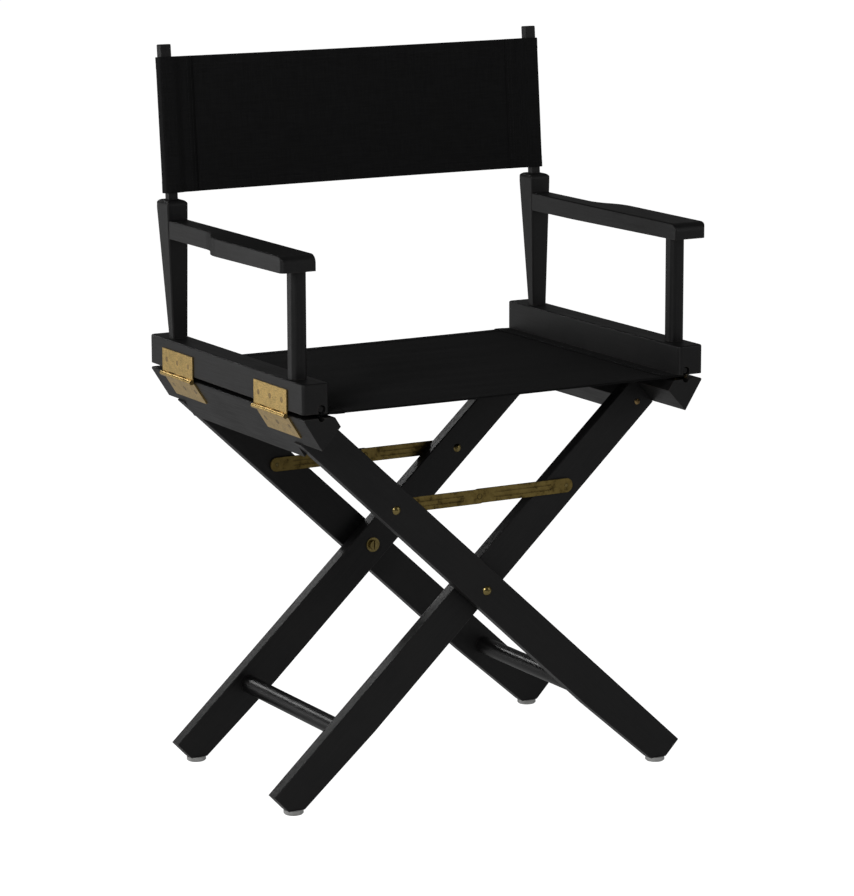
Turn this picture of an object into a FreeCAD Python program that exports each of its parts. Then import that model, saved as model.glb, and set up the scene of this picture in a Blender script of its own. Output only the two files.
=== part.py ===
import FreeCAD, Part
import math
import os
import Sketcher
from FreeCAD import Placement, Rotation, Vector

# Folding wooden director chair, standing open.
# Frame: origin on the floor under the middle of the chair, +Z up, +Y to the back, +X to the right as
# seen by someone who faces the chair. "left" and "right" in names are meant in the same way.
# Two crossed leg frames turn on a pair of pivot bolts, each carries one arm frame on butt hinges, and
# folding stays join the legs above the crossing. The legs of the "outer" frame stand outside the
# legs of the "inner" frame, front and rear.

DIMENSIONS = {
    # arm frames
    "rail_outer": 294.0,         # side rail, outer face from the middle plane
    "rail_width": 36.5,
    "rail_bottom": 536.0,
    "rail_height": 38.0,
    "rail_length": 438.15,
    "rail_edge": 2.5,            # rounding of the rail's long edges
    "rail_corner": 5.0,          # rounding of its upright corners
    "groove_centre": 268.0,      # keyhole groove for the seat dowel
    "groove_radius": 5.6,
    "groove_neck": 4.4,
    "post_centre": 277.0,
    "front_post_centre": 278.2,
    "front_post_place": -174.0,
    "front_post_width": 21.5,
    "front_post_round": 7.7,     # radius of its corners
    "front_post_gap": 0.6,       # between its shoulder and the armrest
    "rear_post_front": 163.0,
    "rear_post_width": 30.0,
    "rear_post_depth": 34.0,
    "rear_post_top": 757.0,
    "rear_post_taper_end": 745.0,
    "rear_post_edge": 2.5,
    "rear_post_shoulder": 7.0,
    "rear_post_foot_place": 275.8,
    "rear_post_foot_width": 21.5,
    "rear_post_foot_depth": 14.0,
    "tenon_radius": 6.0,
    "tenon_length": 14.0,
    "armrest_tenon": 5.5,        # into the rear post, short of the back stick
    "armrest_rear_gap": 0.2,
    "fit_gap": 0.1,
    "armrest_inner": 263.0,
    "armrest_rear_outer": 290.0,
    "armrest_front_outer": 311.15,
    "armrest_front": -198.6,
    "armrest_swell_rear": 57.0,
    "armrest_swell_front": -17.0,
    "armrest_top": 731.5,
    "armrest_bottom_rear": 707.5,
    "armrest_bottom_front": 710.5,
    "armrest_nose": 11.0,
    "armrest_corner": 7.0,
    "armrest_edge": 2.0,
    "stick_place": 181.2,
    "stick_width": 15.5,
    "stick_depth": 12.5,
    "stick_neck_width": 13.0,
    "stick_neck_depth": 10.5,
    "stick_lean": 4.9,           # degrees
    "stick_top": 958.85,
    "stick_socket": 40.0,
    "stick_edge": 1.5,
    "stick_blade_start": 8.0,    # above the rear post's top
    # canvas
    "canvas_gauge": 1.2,
    "seat_level": 534.2,
    "seat_dowel_radius": 3.5,
    "seat_dowel_level": 541.2,    # also the middle of the groove
    "seat_hem_radius": 5.0,
    "seat_throat": 5.0,
    "seat_depth": 432.0,
    "back_low": 765.0,
    "back_high": 942.0,
    "sleeve_width": 21.0,
    "sleeve_depth": 16.5,
    "sleeve_gap": 0.3,
    # leg frames
    "pivot_height": 268.0,
    "leg_slope": 43.0,           # degrees above the floor, chair open
    "leg_width": 47.0,
    "leg_gauge": 19.0,
    "leg_top": 346.2,            # along the leg from the pivot
    "leg_taper_start": 230.0,    # along the leg below the pivot
    "leg_edge": 1.5,
    "leg_rail_edge": 2.0,
    "leg_gap": 7.0,              # between the two leg frames
    "front_leg_face": 165.0,     # outside face of the outer frame's front leg
    "rear_leg_face": 190.0,      # outside face of the outer frame's rear leg
    "foot_flat_inner": 254.0,
    "foot_flat_outer": 278.0,
    "foot_level": 6.0,
    "foot_corner": 298.0,
    "foot_corner_level": 27.0,
    "leg_rail_top": 530.0,
    "leg_rail_inner": 249.5,
    "leg_rail_slope": 57.5,      # degrees, of its outer and inner faces
    "leg_rail_end_cut": 346.4,   # along the leg, under the rail's ends
    "leg_rail_notch": 4.5,       # radius of the groove in its top, under the seat's hem
    "leg_rail_deep_cut": 322.0,  # along the leg, under its middle
    "stretcher_place": 190.0,
    "stretcher_level": 96.5,
    "stretcher_radius": 12.0,
    "glide_place": 266.5,
    "glide_radius": 13.0,
    "glide_thickness": 6.0,
    "glide_bevel": 1.5,
    "leg_screw_along": 330.0,
    "leg_screw_across": 4.6,
    "leg_screw_radius": 2.5,
    "leg_screw_head": 4.2,
    "leg_screw_head_height": 1.8,
    "leg_screw_bite": 22.0,      # into the leg rail
    "stretcher_tenon": 8.0,
    "stretcher_mortise": 14.0,
    # hinges
    "hinge_axis": 297.0,
    "hinge_level": 528.5,
    "hinge_place": 133.0,
    "hinge_length": 90.0,
    "upper_leaf_height": 33.5,   # from the hinge axis
    "lower_leaf_height": 36.5,
    "leaf_gauge": 1.8,
    "knuckle_radius": 3.1,
    "pin_radius": 1.5,
    "knuckle_gap": 0.3,
    "leaf_relief": 0.7,          # leaf edge to the other leaf's knuckles
    "hinge_screw_head": 3.3,
    "hinge_screw_radius": 1.6,
    "hinge_screw_length": 13.0,
    "hinge_screw_spread": 32.0,
    "hinge_screw_level": 19.0,   # from the hinge axis along the leaf
    # pivots and stays
    "pivot_radius": 3.2,
    "pivot_clearance": 0.05,
    "bolt_head_radius": 6.5,
    "bolt_head_height": 3.6,
    "washer_radius": 10.0,
    "washer_gauge": 1.2,
    "pivot_nut_height": 4.0,
    "stay_reach": 180.0,         # from the pivot up the leg to the stay's end bolt
    "stay_drop": 2.5,            # of that bolt below the leg's middle line
    "stay_width": 19.0,
    "stay_gauge": 2.2,
    "stay_bolt_radius": 2.5,
    "stay_head_radius": 6.0,
    "stay_head_height": 3.0,
    "stay_rivet_head": 4.0,
    "stay_rivet_clearance": 0.25,
    "stay_groove_width": 1.4,
    "stay_groove_depth": 0.9,
    "stay_groove_level": 3.2,
    "stay_groove_margin": 24.0,
    "driver_slot": 1.4,
}

HINGE_KNUCKLES = 5
TOLERANCE = 0.01
FRAME_OF_SIDE = {-1: "outer", 1: "inner"}


class Size:
    """A length or angle with its value and the expression that gives it from the sheet."""

    def __init__(self, value, text):
        self.value = float(value)
        self.text = text

    @staticmethod
    def of(other):
        return other if isinstance(other, Size) else Size(other, "{:g}".format(other))

    def _join(self, other, sign, value):
        return Size(value, "({} {} {})".format(self.text, sign, other.text))

    def __add__(self, other):
        other = Size.of(other)
        return self._join(other, "+", self.value + other.value)

    def __sub__(self, other):
        other = Size.of(other)
        return self._join(other, "-", self.value - other.value)

    def __mul__(self, other):
        other = Size.of(other)
        return self._join(other, "*", self.value * other.value)

    def __truediv__(self, other):
        other = Size.of(other)
        return self._join(other, "/", self.value / other.value)

    def __rsub__(self, other):
        return Size.of(other) - self

    __radd__ = __add__
    __rmul__ = __mul__

    def __neg__(self):
        return Size(-self.value, "(0 - {})".format(self.text))


def cosine(angle):
    return Size(math.cos(math.radians(angle.value)), "cos({} * 1deg)".format(angle.text))


def sine(angle):
    return Size(math.sin(math.radians(angle.value)), "sin({} * 1deg)".format(angle.text))


doc = FreeCAD.newDocument("director_chair")
sheet = doc.addObject("Spreadsheet::Sheet", "Sizes")
for row, (alias, number) in enumerate(DIMENSIONS.items(), start=1):
    sheet.set("A{}".format(row), alias)
    sheet.set("B{}".format(row), str(number))
    sheet.setAlias("B{}".format(row), alias)
doc.recompute()


def size(alias):
    return Size(sheet.get(alias), "<<Sizes>>." + alias)


S = {alias: size(alias) for alias in DIMENSIONS}
nodes = []


def keep(feature, label):
    """Names a finished sub-part and lists it for export."""
    feature.Label = label
    nodes.append(feature)
    return feature


def bind(feature, **sizes):
    """Binds properties of a feature to sizes of the sheet."""
    for name, amount in sizes.items():
        amount = Size.of(amount)
        setattr(feature, name, amount.value)
        feature.setExpression(name, amount.text)
    return feature


def place(feature, x=0, y=0, z=0, axis=None, angle=None):
    """Puts a feature at a point of the chair's frame, turned by angle about axis."""
    x, y, z = Size.of(x), Size.of(y), Size.of(z)
    if axis is None:
        feature.Placement = Placement(Vector(x.value, y.value, z.value), Rotation())
    else:
        angle = Size.of(angle)
        turn = Rotation(Vector(*axis), angle.value)
        feature.Placement = Placement(Vector(x.value, y.value, z.value), turn)
        feature.setExpression("Placement.Rotation.Angle", angle.text)
    for name, amount in zip("xyz", (x, y, z)):
        feature.setExpression("Placement.Base." + name, amount.text)
    return feature


# ---- sketches -------------------------------------------------------------------------------

def origin_plane(body, role):
    return next(plane for plane in body.Origin.OriginFeatures if plane.Role == role)


def sketch_on(body, role, name, offset=0.0):
    sketch = body.newObject("Sketcher::SketchObject", name)
    sketch.AttachmentSupport = (origin_plane(body, role), [""])
    sketch.MapMode = "FlatFace"
    offset = Size.of(offset)
    sketch.AttachmentOffset = Placement(Vector(0, 0, offset.value), Rotation())
    sketch.setExpression("AttachmentOffset.Base.z", offset.text)
    return sketch


def pin_point(sketch, element, end, point, kinds=("DistanceX", "DistanceY")):
    """Ties one end of a sketch element to a place given by two sizes."""
    for kind, amount in zip(("DistanceX", "DistanceY"), point):
        if kind not in kinds:
            continue
        amount = Size.of(amount)
        index = sketch.addConstraint(Sketcher.Constraint(kind, -1, 1, element, end, amount.value))
        sketch.setExpression("Constraints[{}]".format(index), amount.text)


def outline(sketch, points, arcs=None):
    """Draws a closed outline through the points. arcs gives {segment: (centre, radius)}; a negative
    radius turns that arc clockwise."""
    arcs = arcs or {}
    flat = [Vector(Size.of(px).value, Size.of(py).value, 0) for px, py in points]
    for i, start in enumerate(flat):
        end = flat[(i + 1) % len(flat)]
        if i not in arcs:
            sketch.addGeometry(Part.LineSegment(start, end), False)
            pin_point(sketch, i, 1, points[i])
            continue
        centre, radius = arcs[i]
        middle = Vector(Size.of(centre[0]).value, Size.of(centre[1]).value, 0)
        reach = abs(Size.of(radius).value)
        turn = 1 if Size.of(radius).value > 0 else -1
        circle = Part.Circle(middle, Vector(0, 0, 1), reach)
        angles = [math.atan2(p.y - middle.y, p.x - middle.x) for p in (start, end)]
        if turn < 0:
            angles.reverse()
        sketch.addGeometry(Part.ArcOfCircle(circle, angles[0], angles[1]), False)
        pin_point(sketch, i, 1 if turn > 0 else 2, points[i])
        chord = end - start
        free_way = "DistanceY" if abs(chord.x) > abs(chord.y) else "DistanceX"
        pin_point(sketch, i, 3, centre, kinds=(free_way,))
    for i in range(len(flat)):
        following = (i + 1) % len(flat)
        out_end = 1 if (i in arcs and Size.of(arcs[i][1]).value < 0) else 2
        in_end = 2 if (following in arcs and Size.of(arcs[following][1]).value < 0) else 1
        sketch.addConstraint(Sketcher.Constraint("Coincident", i, out_end, following, in_end))


def disc(sketch, centre, radius):
    """Draws a circle in a sketch."""
    radius = Size.of(radius)
    middle = Vector(Size.of(centre[0]).value, Size.of(centre[1]).value, 0)
    index = sketch.addGeometry(Part.Circle(middle, Vector(0, 0, 1), radius.value), False)
    pin_point(sketch, index, 3, centre)
    ring = sketch.addConstraint(Sketcher.Constraint("Radius", index, radius.value))
    sketch.setExpression("Constraints[{}]".format(ring), radius.text)


def rounded_rectangle(centre, width, depth, radius):
    """Points and arcs of a rectangle with round corners."""
    cx, cy = Size.of(centre[0]), Size.of(centre[1])
    hx, hy, radius = Size.of(width) / 2, Size.of(depth) / 2, Size.of(radius)
    points, arcs = [], {}
    for k, (sx, sy) in enumerate(((1, 1), (-1, 1), (-1, -1), (1, -1))):
        corner = (cx + (hx - radius) * sx, cy + (hy - radius) * sy)
        on_side = (cx + hx * sx, cy + (hy - radius) * sy)
        on_end = (cx + (hx - radius) * sx, cy + hy * sy)
        points += [on_side, on_end] if sx * sy > 0 else [on_end, on_side]
        arcs[2 * k] = (corner, radius)
    return points, arcs


def pad(body, sketch, length, reverse=False, both_ways=False):
    feature = body.newObject("PartDesign::Pad", "Pad")
    feature.Profile = sketch
    bind(feature, Length=length)
    feature.Reversed = reverse
    feature.Midplane = both_ways
    body.Tip = feature
    doc.recompute()
    return feature


def fillet(body, radius, wanted):
    """Rounds the edges of the body's tip for which wanted(edge) is true."""
    base = body.Tip
    names = ["Edge{}".format(i) for i, edge in enumerate(base.Shape.Edges, start=1) if wanted(edge)]
    feature = body.newObject("PartDesign::Fillet", "Fillet")
    feature.Base = (base, names)
    bind(feature, Radius=radius)
    body.Tip = feature
    doc.recompute()
    return feature


def new_body(label):
    return keep(doc.addObject("PartDesign::Body", label), label)


# ---- plain solids and booleans ---------------------------------------------------------------

def box(length, width, height, x=0, y=0, z=0):
    solid = doc.addObject("Part::Box", "Box")
    bind(solid, Length=length, Width=width, Height=height)
    return place(solid, x, y, z)


def cylinder(radius, height, x=0, y=0, z=0, axis=None, angle=None):
    solid = doc.addObject("Part::Cylinder", "Cylinder")
    bind(solid, Radius=radius, Height=height)
    return place(solid, x, y, z, axis, angle)


def rod(radius, length, x, y, z):
    """A round bar along +Y that starts at the given point."""
    return cylinder(radius, length, x, y, z, axis=(1, 0, 0), angle=-90)


def fuse(parts, label="Fuse"):
    solid = doc.addObject("Part::MultiFuse", label)
    solid.Shapes = parts
    return solid


def cut(base, tool, label="Cut"):
    solid = doc.addObject("Part::Cut", label)
    solid.Base, solid.Tool = base, tool
    return solid


def group(parts, label):
    """Separate identical pieces kept as one node."""
    compound = doc.addObject("Part::Compound", label)
    compound.Links = parts
    return keep(compound, label)


# ---- leg frame geometry ----------------------------------------------------------------------

lean_across, lean_up = cosine(S["leg_slope"]), sine(S["leg_slope"])


def on_leg(side, along, across):
    """Point in the XZ plane: along a leg from the pivot towards its top, and across it, upwards.
    side is the side that the leg's top leans to."""
    x = lean_across * along - lean_up * across
    z = S["pivot_height"] + lean_up * along + lean_across * across
    return (x * side, z)


def leg_faces(side):
    """Front faces of the two legs of one frame: side -1 is the outer frame, 1 the inner one."""
    if side < 0:
        return -S["front_leg_face"], S["rear_leg_face"] - S["leg_gauge"]
    inset = S["leg_gauge"] + S["leg_gap"]
    return inset - S["front_leg_face"], S["rear_leg_face"] - inset - S["leg_gauge"]


def down_face(side, top_x, along):
    """Point where a leg rail face, leaning in from top_x, meets a cut square to the leg."""
    fall_across, fall_down = cosine(S["leg_rail_slope"]), sine(S["leg_rail_slope"])
    top_along = lean_across * top_x + lean_up * (S["leg_rail_top"] - S["pivot_height"])
    reach = (top_along - along) / (fall_across * lean_across + fall_down * lean_up)
    return ((top_x - fall_across * reach) * side, S["leg_rail_top"] - fall_down * reach)


def make_leg(label, side, front_face, rail_behind):
    """A flat leg with a square-cut top, a tapered inner edge and a flat foot. rail_behind says that
    the rest of its frame lies on its +Y side."""
    blank = doc.addObject("PartDesign::Body", label + "_blank")
    half = S["leg_width"] / 2
    foot = -side
    profile = sketch_on(blank, "XZ_Plane", "LegOutline")
    outline(profile, [
        on_leg(side, S["leg_top"], half),
        on_leg(side, S["leg_top"], -half),
        on_leg(side, -S["leg_taper_start"], -half),
        (S["foot_flat_inner"] * foot, S["foot_level"]),
        (S["foot_flat_outer"] * foot, S["foot_level"]),
        (S["foot_corner"] * foot, S["foot_corner_level"]),
    ])
    pad(blank, profile, S["leg_gauge"])
    fillet(blank, S["leg_edge"], lambda edge: edge.Length > S["leg_top"].value)
    place(blank, y=front_face + S["leg_gauge"])
    gauge, clearance = S["leg_gauge"], S["pivot_clearance"]
    stay_x, stay_z = on_leg(side, S["stay_reach"], -S["stay_drop"])
    screw_x, screw_z = on_leg(side, S["leg_screw_along"], -S["leg_screw_across"])
    mortise_face = front_face + gauge - S["stretcher_mortise"] if rail_behind else front_face
    drills = [
        rod(S["pivot_radius"] + clearance, gauge, 0, front_face, S["pivot_height"]),
        rod(S["stay_bolt_radius"] + clearance, gauge, stay_x, front_face, stay_z),
        rod(S["leg_screw_radius"] + clearance, gauge, screw_x, front_face, screw_z),
        rod(S["stretcher_tenon"] + clearance, S["stretcher_mortise"],
            S["stretcher_place"] * foot, mortise_face, S["stretcher_level"]),
    ]
    return keep(cut(blank, fuse(drills), label), label)


def make_leg_rail(label, side):
    """The rail across one frame's leg tops. Its middle is deeper and fills the space between the
    legs; hinge screws and leg screws go into it."""
    blank = doc.addObject("PartDesign::Body", label + "_blank")
    outer, inner, top = S["rail_outer"], S["leg_rail_inner"], S["leg_rail_top"]
    end_profile = sketch_on(blank, "XZ_Plane", "EndSection")
    outline(end_profile, [
        (outer * side, top),
        (inner * side, top),
        down_face(side, inner, S["leg_rail_end_cut"]),
        down_face(side, outer, S["leg_rail_end_cut"]),
    ])
    pad(blank, end_profile, S["rail_length"], both_ways=True)
    front_face, rear_face = leg_faces(side)
    front_end = front_face + S["leg_gauge"]
    deep_profile = sketch_on(blank, "XZ_Plane", "MiddleSection", offset=-rear_face)
    outline(deep_profile, [
        (outer * side, top),
        (inner * side, top),
        down_face(side, inner, S["leg_rail_deep_cut"]),
        down_face(side, outer, S["leg_rail_deep_cut"]),
    ])
    pad(blank, deep_profile, rear_face - front_end)
    whole_length = S["rail_length"].value - 1
    fillet(blank, S["leg_rail_edge"], lambda edge: edge.Length > whole_length)
    screw_x, screw_z = on_leg(side, S["leg_screw_along"], -S["leg_screw_across"])
    bite, radius = S["leg_screw_bite"], S["leg_screw_radius"] + S["pivot_clearance"]
    drills = [rod(radius, bite, screw_x, front_end, screw_z),
              rod(radius, bite, screw_x, rear_face - bite, screw_z),
              rod(S["leg_rail_notch"], S["rail_length"], S["groove_centre"] * side,
                  -S["rail_length"] / 2, top)]
    drills += [screw_solid(side, S["leg_rail_slope"], along, S["pivot_clearance"])
               for along in hinge_screw_places()]
    return keep(cut(blank, fuse(drills), label), label)


def make_stretcher(label, side):
    """Round bar between the feet of one frame, with a tenon at each end."""
    front_face, rear_face = leg_faces(side)
    start = front_face + S["leg_gauge"]
    x, z = S["stretcher_place"] * -side, S["stretcher_level"]
    tenon = S["stretcher_mortise"] - 1
    bar = rod(S["stretcher_radius"], rear_face - start, x, start, z)
    core = rod(S["stretcher_tenon"], rear_face - start + tenon * 2, x, start - tenon, z)
    return keep(fuse([bar, core], label), label)


def make_glides(label, side):
    """Two nail-on plastic glides under one frame's feet."""
    pads = []
    for face in leg_faces(side):
        x, y = S["glide_place"] * -side, face + S["leg_gauge"] / 2
        bevel = S["glide_bevel"]
        rim = cylinder(S["glide_radius"], S["glide_thickness"] - bevel, x, y, bevel)
        sole = doc.addObject("Part::Cone", "Sole")
        bind(sole, Radius1=S["glide_radius"] - bevel, Radius2=S["glide_radius"], Height=bevel)
        place(sole, x, y)
        pads.append(fuse([rim, sole]))
    return group(pads, label)


# ---- fasteners along Y -------------------------------------------------------------------------

def dome_bolt(x, y, z, head_radius, head_height, shank_radius, length, forwards):
    """A domed bolt along Y. forwards puts its head on the -Y side of the point (x, y, z)."""
    body = doc.addObject("PartDesign::Body", "Bolt")
    profile = sketch_on(body, "XY_Plane", "HalfSection")
    ball = (head_radius * head_radius + head_height * head_height) / (head_height * 2)
    outline(profile, [(0, -head_height), (head_radius, 0), (shank_radius, 0),
                      (shank_radius, length), (0, length)],
            arcs={0: ((0, ball - head_height), ball)})
    turned = body.newObject("PartDesign::Revolution", "Turned")
    turned.Profile = profile
    turned.ReferenceAxis = (profile, ["V_Axis"])
    turned.Angle = 360
    body.Tip = turned
    doc.recompute()
    return place(body, x, y, z, axis=(0, 0, 1), angle=0 if forwards else 180)


def slotted_nut(x, y, z, washer_radius, nut_radius, bore, washer, height, forwards):
    """A washer and round slotted nut on a bolt's tail, as one piece that points along Y."""
    start = y - washer if forwards else y
    ring = rod(washer_radius, washer, x, start, z)
    nut_start = y - washer - height if forwards else y + washer
    nut = rod(nut_radius, height, x, nut_start, z)
    slot_depth = height / 2
    slot_start = nut_start if forwards else nut_start + height - slot_depth
    slot = box(S["driver_slot"], slot_depth, nut_radius * 2,
               x - S["driver_slot"] / 2, slot_start, z - nut_radius)
    hole = rod(bore, washer + height - slot_depth, x, start if not forwards else nut_start + slot_depth, z)
    return cut(fuse([ring, nut]), fuse([slot, hole]))


def leg_screw(side, face, forwards):
    """A round-head screw through a leg top into the end of the leg rail's middle."""
    x, z = on_leg(side, S["leg_screw_along"], -S["leg_screw_across"])
    length = S["leg_gauge"] + S["leg_screw_bite"] - 1
    screw = dome_bolt(x, face, z, S["leg_screw_head"], S["leg_screw_head_height"],
                      S["leg_screw_radius"], length, forwards)
    head = S["leg_screw_head_height"]
    slot_y = face - head if forwards else face + head / 2
    slot = box(S["driver_slot"], head / 2, S["leg_screw_head"] * 2,
               x - S["driver_slot"] / 2, slot_y, z - S["leg_screw_head"])
    return cut(screw, slot)


# ---- hinges (built on the +X side) --------------------------------------------------------------

def hinge_screw_places():
    """Middles of the hinge screws along Y."""
    spread = S["hinge_screw_spread"]
    return [S["hinge_place"] * end + spread * step for end in (-1, 1) for step in (-1, 0, 1)]


def leaf_corner(tilt_deg, side):
    """Start of a leaf face: the point of the wood's face nearest the hinge axis."""
    axis_x, axis_z = S["hinge_axis"], S["hinge_level"]
    if tilt_deg is None:
        return (S["rail_outer"] * side, axis_z)
    fall_across, fall_down = cosine(tilt_deg), sine(tilt_deg)
    away = fall_down * (axis_x - S["rail_outer"]) - fall_across * (axis_z - S["leg_rail_top"])
    return ((axis_x - fall_down * away) * side, axis_z + fall_across * away)


def screw_point(side, tilt_deg):
    """Where a hinge screw enters the wood, and the angle about Y that turns +Z into the wood."""
    corner_x, corner_z = leaf_corner(tilt_deg, side)
    level = S["hinge_screw_level"]
    if tilt_deg is None:
        return corner_x, corner_z + level, Size.of(-90 * side)
    x = corner_x - cosine(tilt_deg) * level * side
    return x, corner_z - sine(tilt_deg) * level, -tilt_deg * side


def screw_solid(side, tilt_deg, y, clearance=0):
    """A countersunk hinge screw; with a clearance, the hole that it needs."""
    x, z, angle = screw_point(side, tilt_deg)
    gauge, radius, length = S["leaf_gauge"], S["hinge_screw_radius"], S["hinge_screw_length"]
    into_x, into_z = sine(angle), cosine(angle)
    head = doc.addObject("Part::Cone", "ScrewHead")
    bind(head, Radius1=S["hinge_screw_head"] + clearance, Radius2=radius + clearance, Height=gauge)
    place(head, x - into_x * gauge, y, z - into_z * gauge, axis=(0, 1, 0), angle=angle)
    reach = length + clearance * 4
    shank = cylinder(radius + clearance, reach + gauge / 2, x - into_x * gauge / 2, y,
                     z - into_z * gauge / 2, axis=(0, 1, 0), angle=angle)
    return fuse([head, shank])


def make_leaves(label, tilt_deg, knuckles):
    """The two leaves of one side that share a plane: on the side rail, or on the leg rail."""
    corner_x, corner_z = leaf_corner(tilt_deg, 1)
    upright = tilt_deg is None
    turn = Size.of(0) if upright else -(tilt_deg + 90)
    along_x, along_z = sine(turn), cosine(turn)
    out_x, out_z = (Size.of(1), Size.of(0)) if upright else (sine(tilt_deg), -cosine(tilt_deg))
    gauge, relief = S["leaf_gauge"], S["knuckle_radius"] + S["leaf_relief"]
    start_x = corner_x if upright else corner_x + out_x * gauge
    start_z = corner_z if upright else corner_z + out_z * gauge
    height = S["upper_leaf_height"] if upright else S["lower_leaf_height"]
    pitch = S["hinge_length"] / HINGE_KNUCKLES
    leaves = []
    for end in (-1, 1):
        front = S["hinge_place"] * end - S["hinge_length"] / 2
        plate = box(gauge, S["hinge_length"], height - relief)
        place(plate, start_x + along_x * relief, front, start_z + along_z * relief,
              axis=(0, 1, 0), angle=turn)
        metal = [plate]
        for k in knuckles:
            y = front + pitch * k + S["knuckle_gap"] / 2
            width = pitch - S["knuckle_gap"]
            tab = box(gauge, width, relief + 1)
            metal.append(place(tab, start_x, y, start_z, axis=(0, 1, 0), angle=turn))
            metal.append(rod(S["knuckle_radius"], width, S["hinge_axis"], y, S["hinge_level"]))
        bore = rod(S["pin_radius"] + S["pivot_clearance"], S["hinge_length"], S["hinge_axis"], front,
                   S["hinge_level"])
        spread = S["hinge_screw_spread"]
        holes = [screw_solid(1, tilt_deg, S["hinge_place"] * end + spread * step, S["pivot_clearance"])
                 for step in (-1, 0, 1)]
        leaves.append(cut(fuse(metal), fuse([bore] + holes)))
    return group(leaves, label)


def make_hinge_pins(label):
    pins = []
    for end in (-1, 1):
        front = S["hinge_place"] * end - S["hinge_length"] / 2
        pins.append(rod(S["pin_radius"], S["hinge_length"], S["hinge_axis"], front, S["hinge_level"]))
    return group(pins, label)


def make_hinge_screws(label, tilt_deg):
    return group([screw_solid(1, tilt_deg, y) for y in hinge_screw_places()], label)


def mirrored(source, label):
    """The same sub-part on the other side of the chair."""
    twin = doc.addObject("Part::Mirroring", label)
    twin.Source = source
    twin.Base = Vector(0, 0, 0)
    twin.Normal = Vector(1, 0, 0)
    return keep(twin, label)


# ---- arm frames (built on the +X side) -----------------------------------------------------------

def make_side_rail(label):
    """Side rail with eased edges, a keyhole groove for the seat dowel and mortises for the posts."""
    blank = doc.addObject("PartDesign::Body", label + "_blank")
    outer, inner = S["rail_outer"], S["rail_outer"] - S["rail_width"]
    low, high = S["rail_bottom"], S["rail_bottom"] + S["rail_height"]
    profile = sketch_on(blank, "XZ_Plane", "Section")
    outline(profile, [(inner, low), (outer, low), (outer, high), (inner, high)])
    pad(blank, profile, S["rail_length"], both_ways=True)
    fillet(blank, S["rail_corner"], lambda edge: abs(edge.Length - S["rail_height"].value) < 0.1)
    long_side = S["rail_length"].value - S["rail_corner"].value * 2 - 1
    fillet(blank, S["rail_edge"],
           lambda edge: edge.Length > long_side and edge.CenterOfMass.z > high.value - 1)
    groove, half = S["groove_centre"], S["rail_length"] / 2
    neck = S["groove_neck"]
    clearance = S["fit_gap"]
    drills = [
        rod(S["groove_radius"], S["rail_length"], groove, -half, S["seat_dowel_level"]),
        box(neck * 2, S["rail_length"], S["seat_dowel_level"] - low, groove - neck, -half, low),
    ]
    for x, y in ((S["front_post_centre"], S["front_post_place"]), rear_post_foot()):
        drills.append(cylinder(S["tenon_radius"] + clearance, S["tenon_length"] + 1,
                               x, y, high - S["tenon_length"] - 1))
    drills += [screw_solid(1, None, y, S["pivot_clearance"]) for y in hinge_screw_places()]
    return keep(cut(blank, fuse(drills), label), label)


def make_front_post(label):
    """Rounded-square post from the side rail to the armrest, with a tenon at each end."""
    body = new_body(label)
    low = S["rail_bottom"] + S["rail_height"]
    high = S["armrest_bottom_front"] - S["front_post_gap"]
    centre = (S["front_post_centre"], S["front_post_place"])
    profile = sketch_on(body, "XY_Plane", "PostSection", offset=low)
    outline(profile, *rounded_rectangle(centre, S["front_post_width"], S["front_post_width"],
                                        S["front_post_round"]))
    pad(body, profile, high - low)
    tenon = sketch_on(body, "XY_Plane", "TenonSection", offset=low - S["tenon_length"])
    disc(tenon, centre, S["tenon_radius"])
    pad(body, tenon, high - low + S["tenon_length"] * 2)
    return body


def rear_post_foot():
    """Middle of the rear post's foot, across and along the side rail."""
    return S["rear_post_foot_place"], S["rear_post_front"] + S["rear_post_foot_depth"] / 2


def round_topped(body, plane, offset, thickness, span, levels, radius):
    """Fills a body with an upright slab whose two upper corners are round."""
    near, far = span
    low, high = levels
    profile = sketch_on(body, plane, "RoundTopped", offset=offset)
    outline(profile, [
        (far, low), (far, high - radius), (far - radius, high),
        (near + radius, high), (near, high - radius), (near, low),
    ], arcs={1: ((far - radius, high - radius), radius),
             3: ((near + radius, high - radius), radius)})
    pad(body, profile, thickness)


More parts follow.
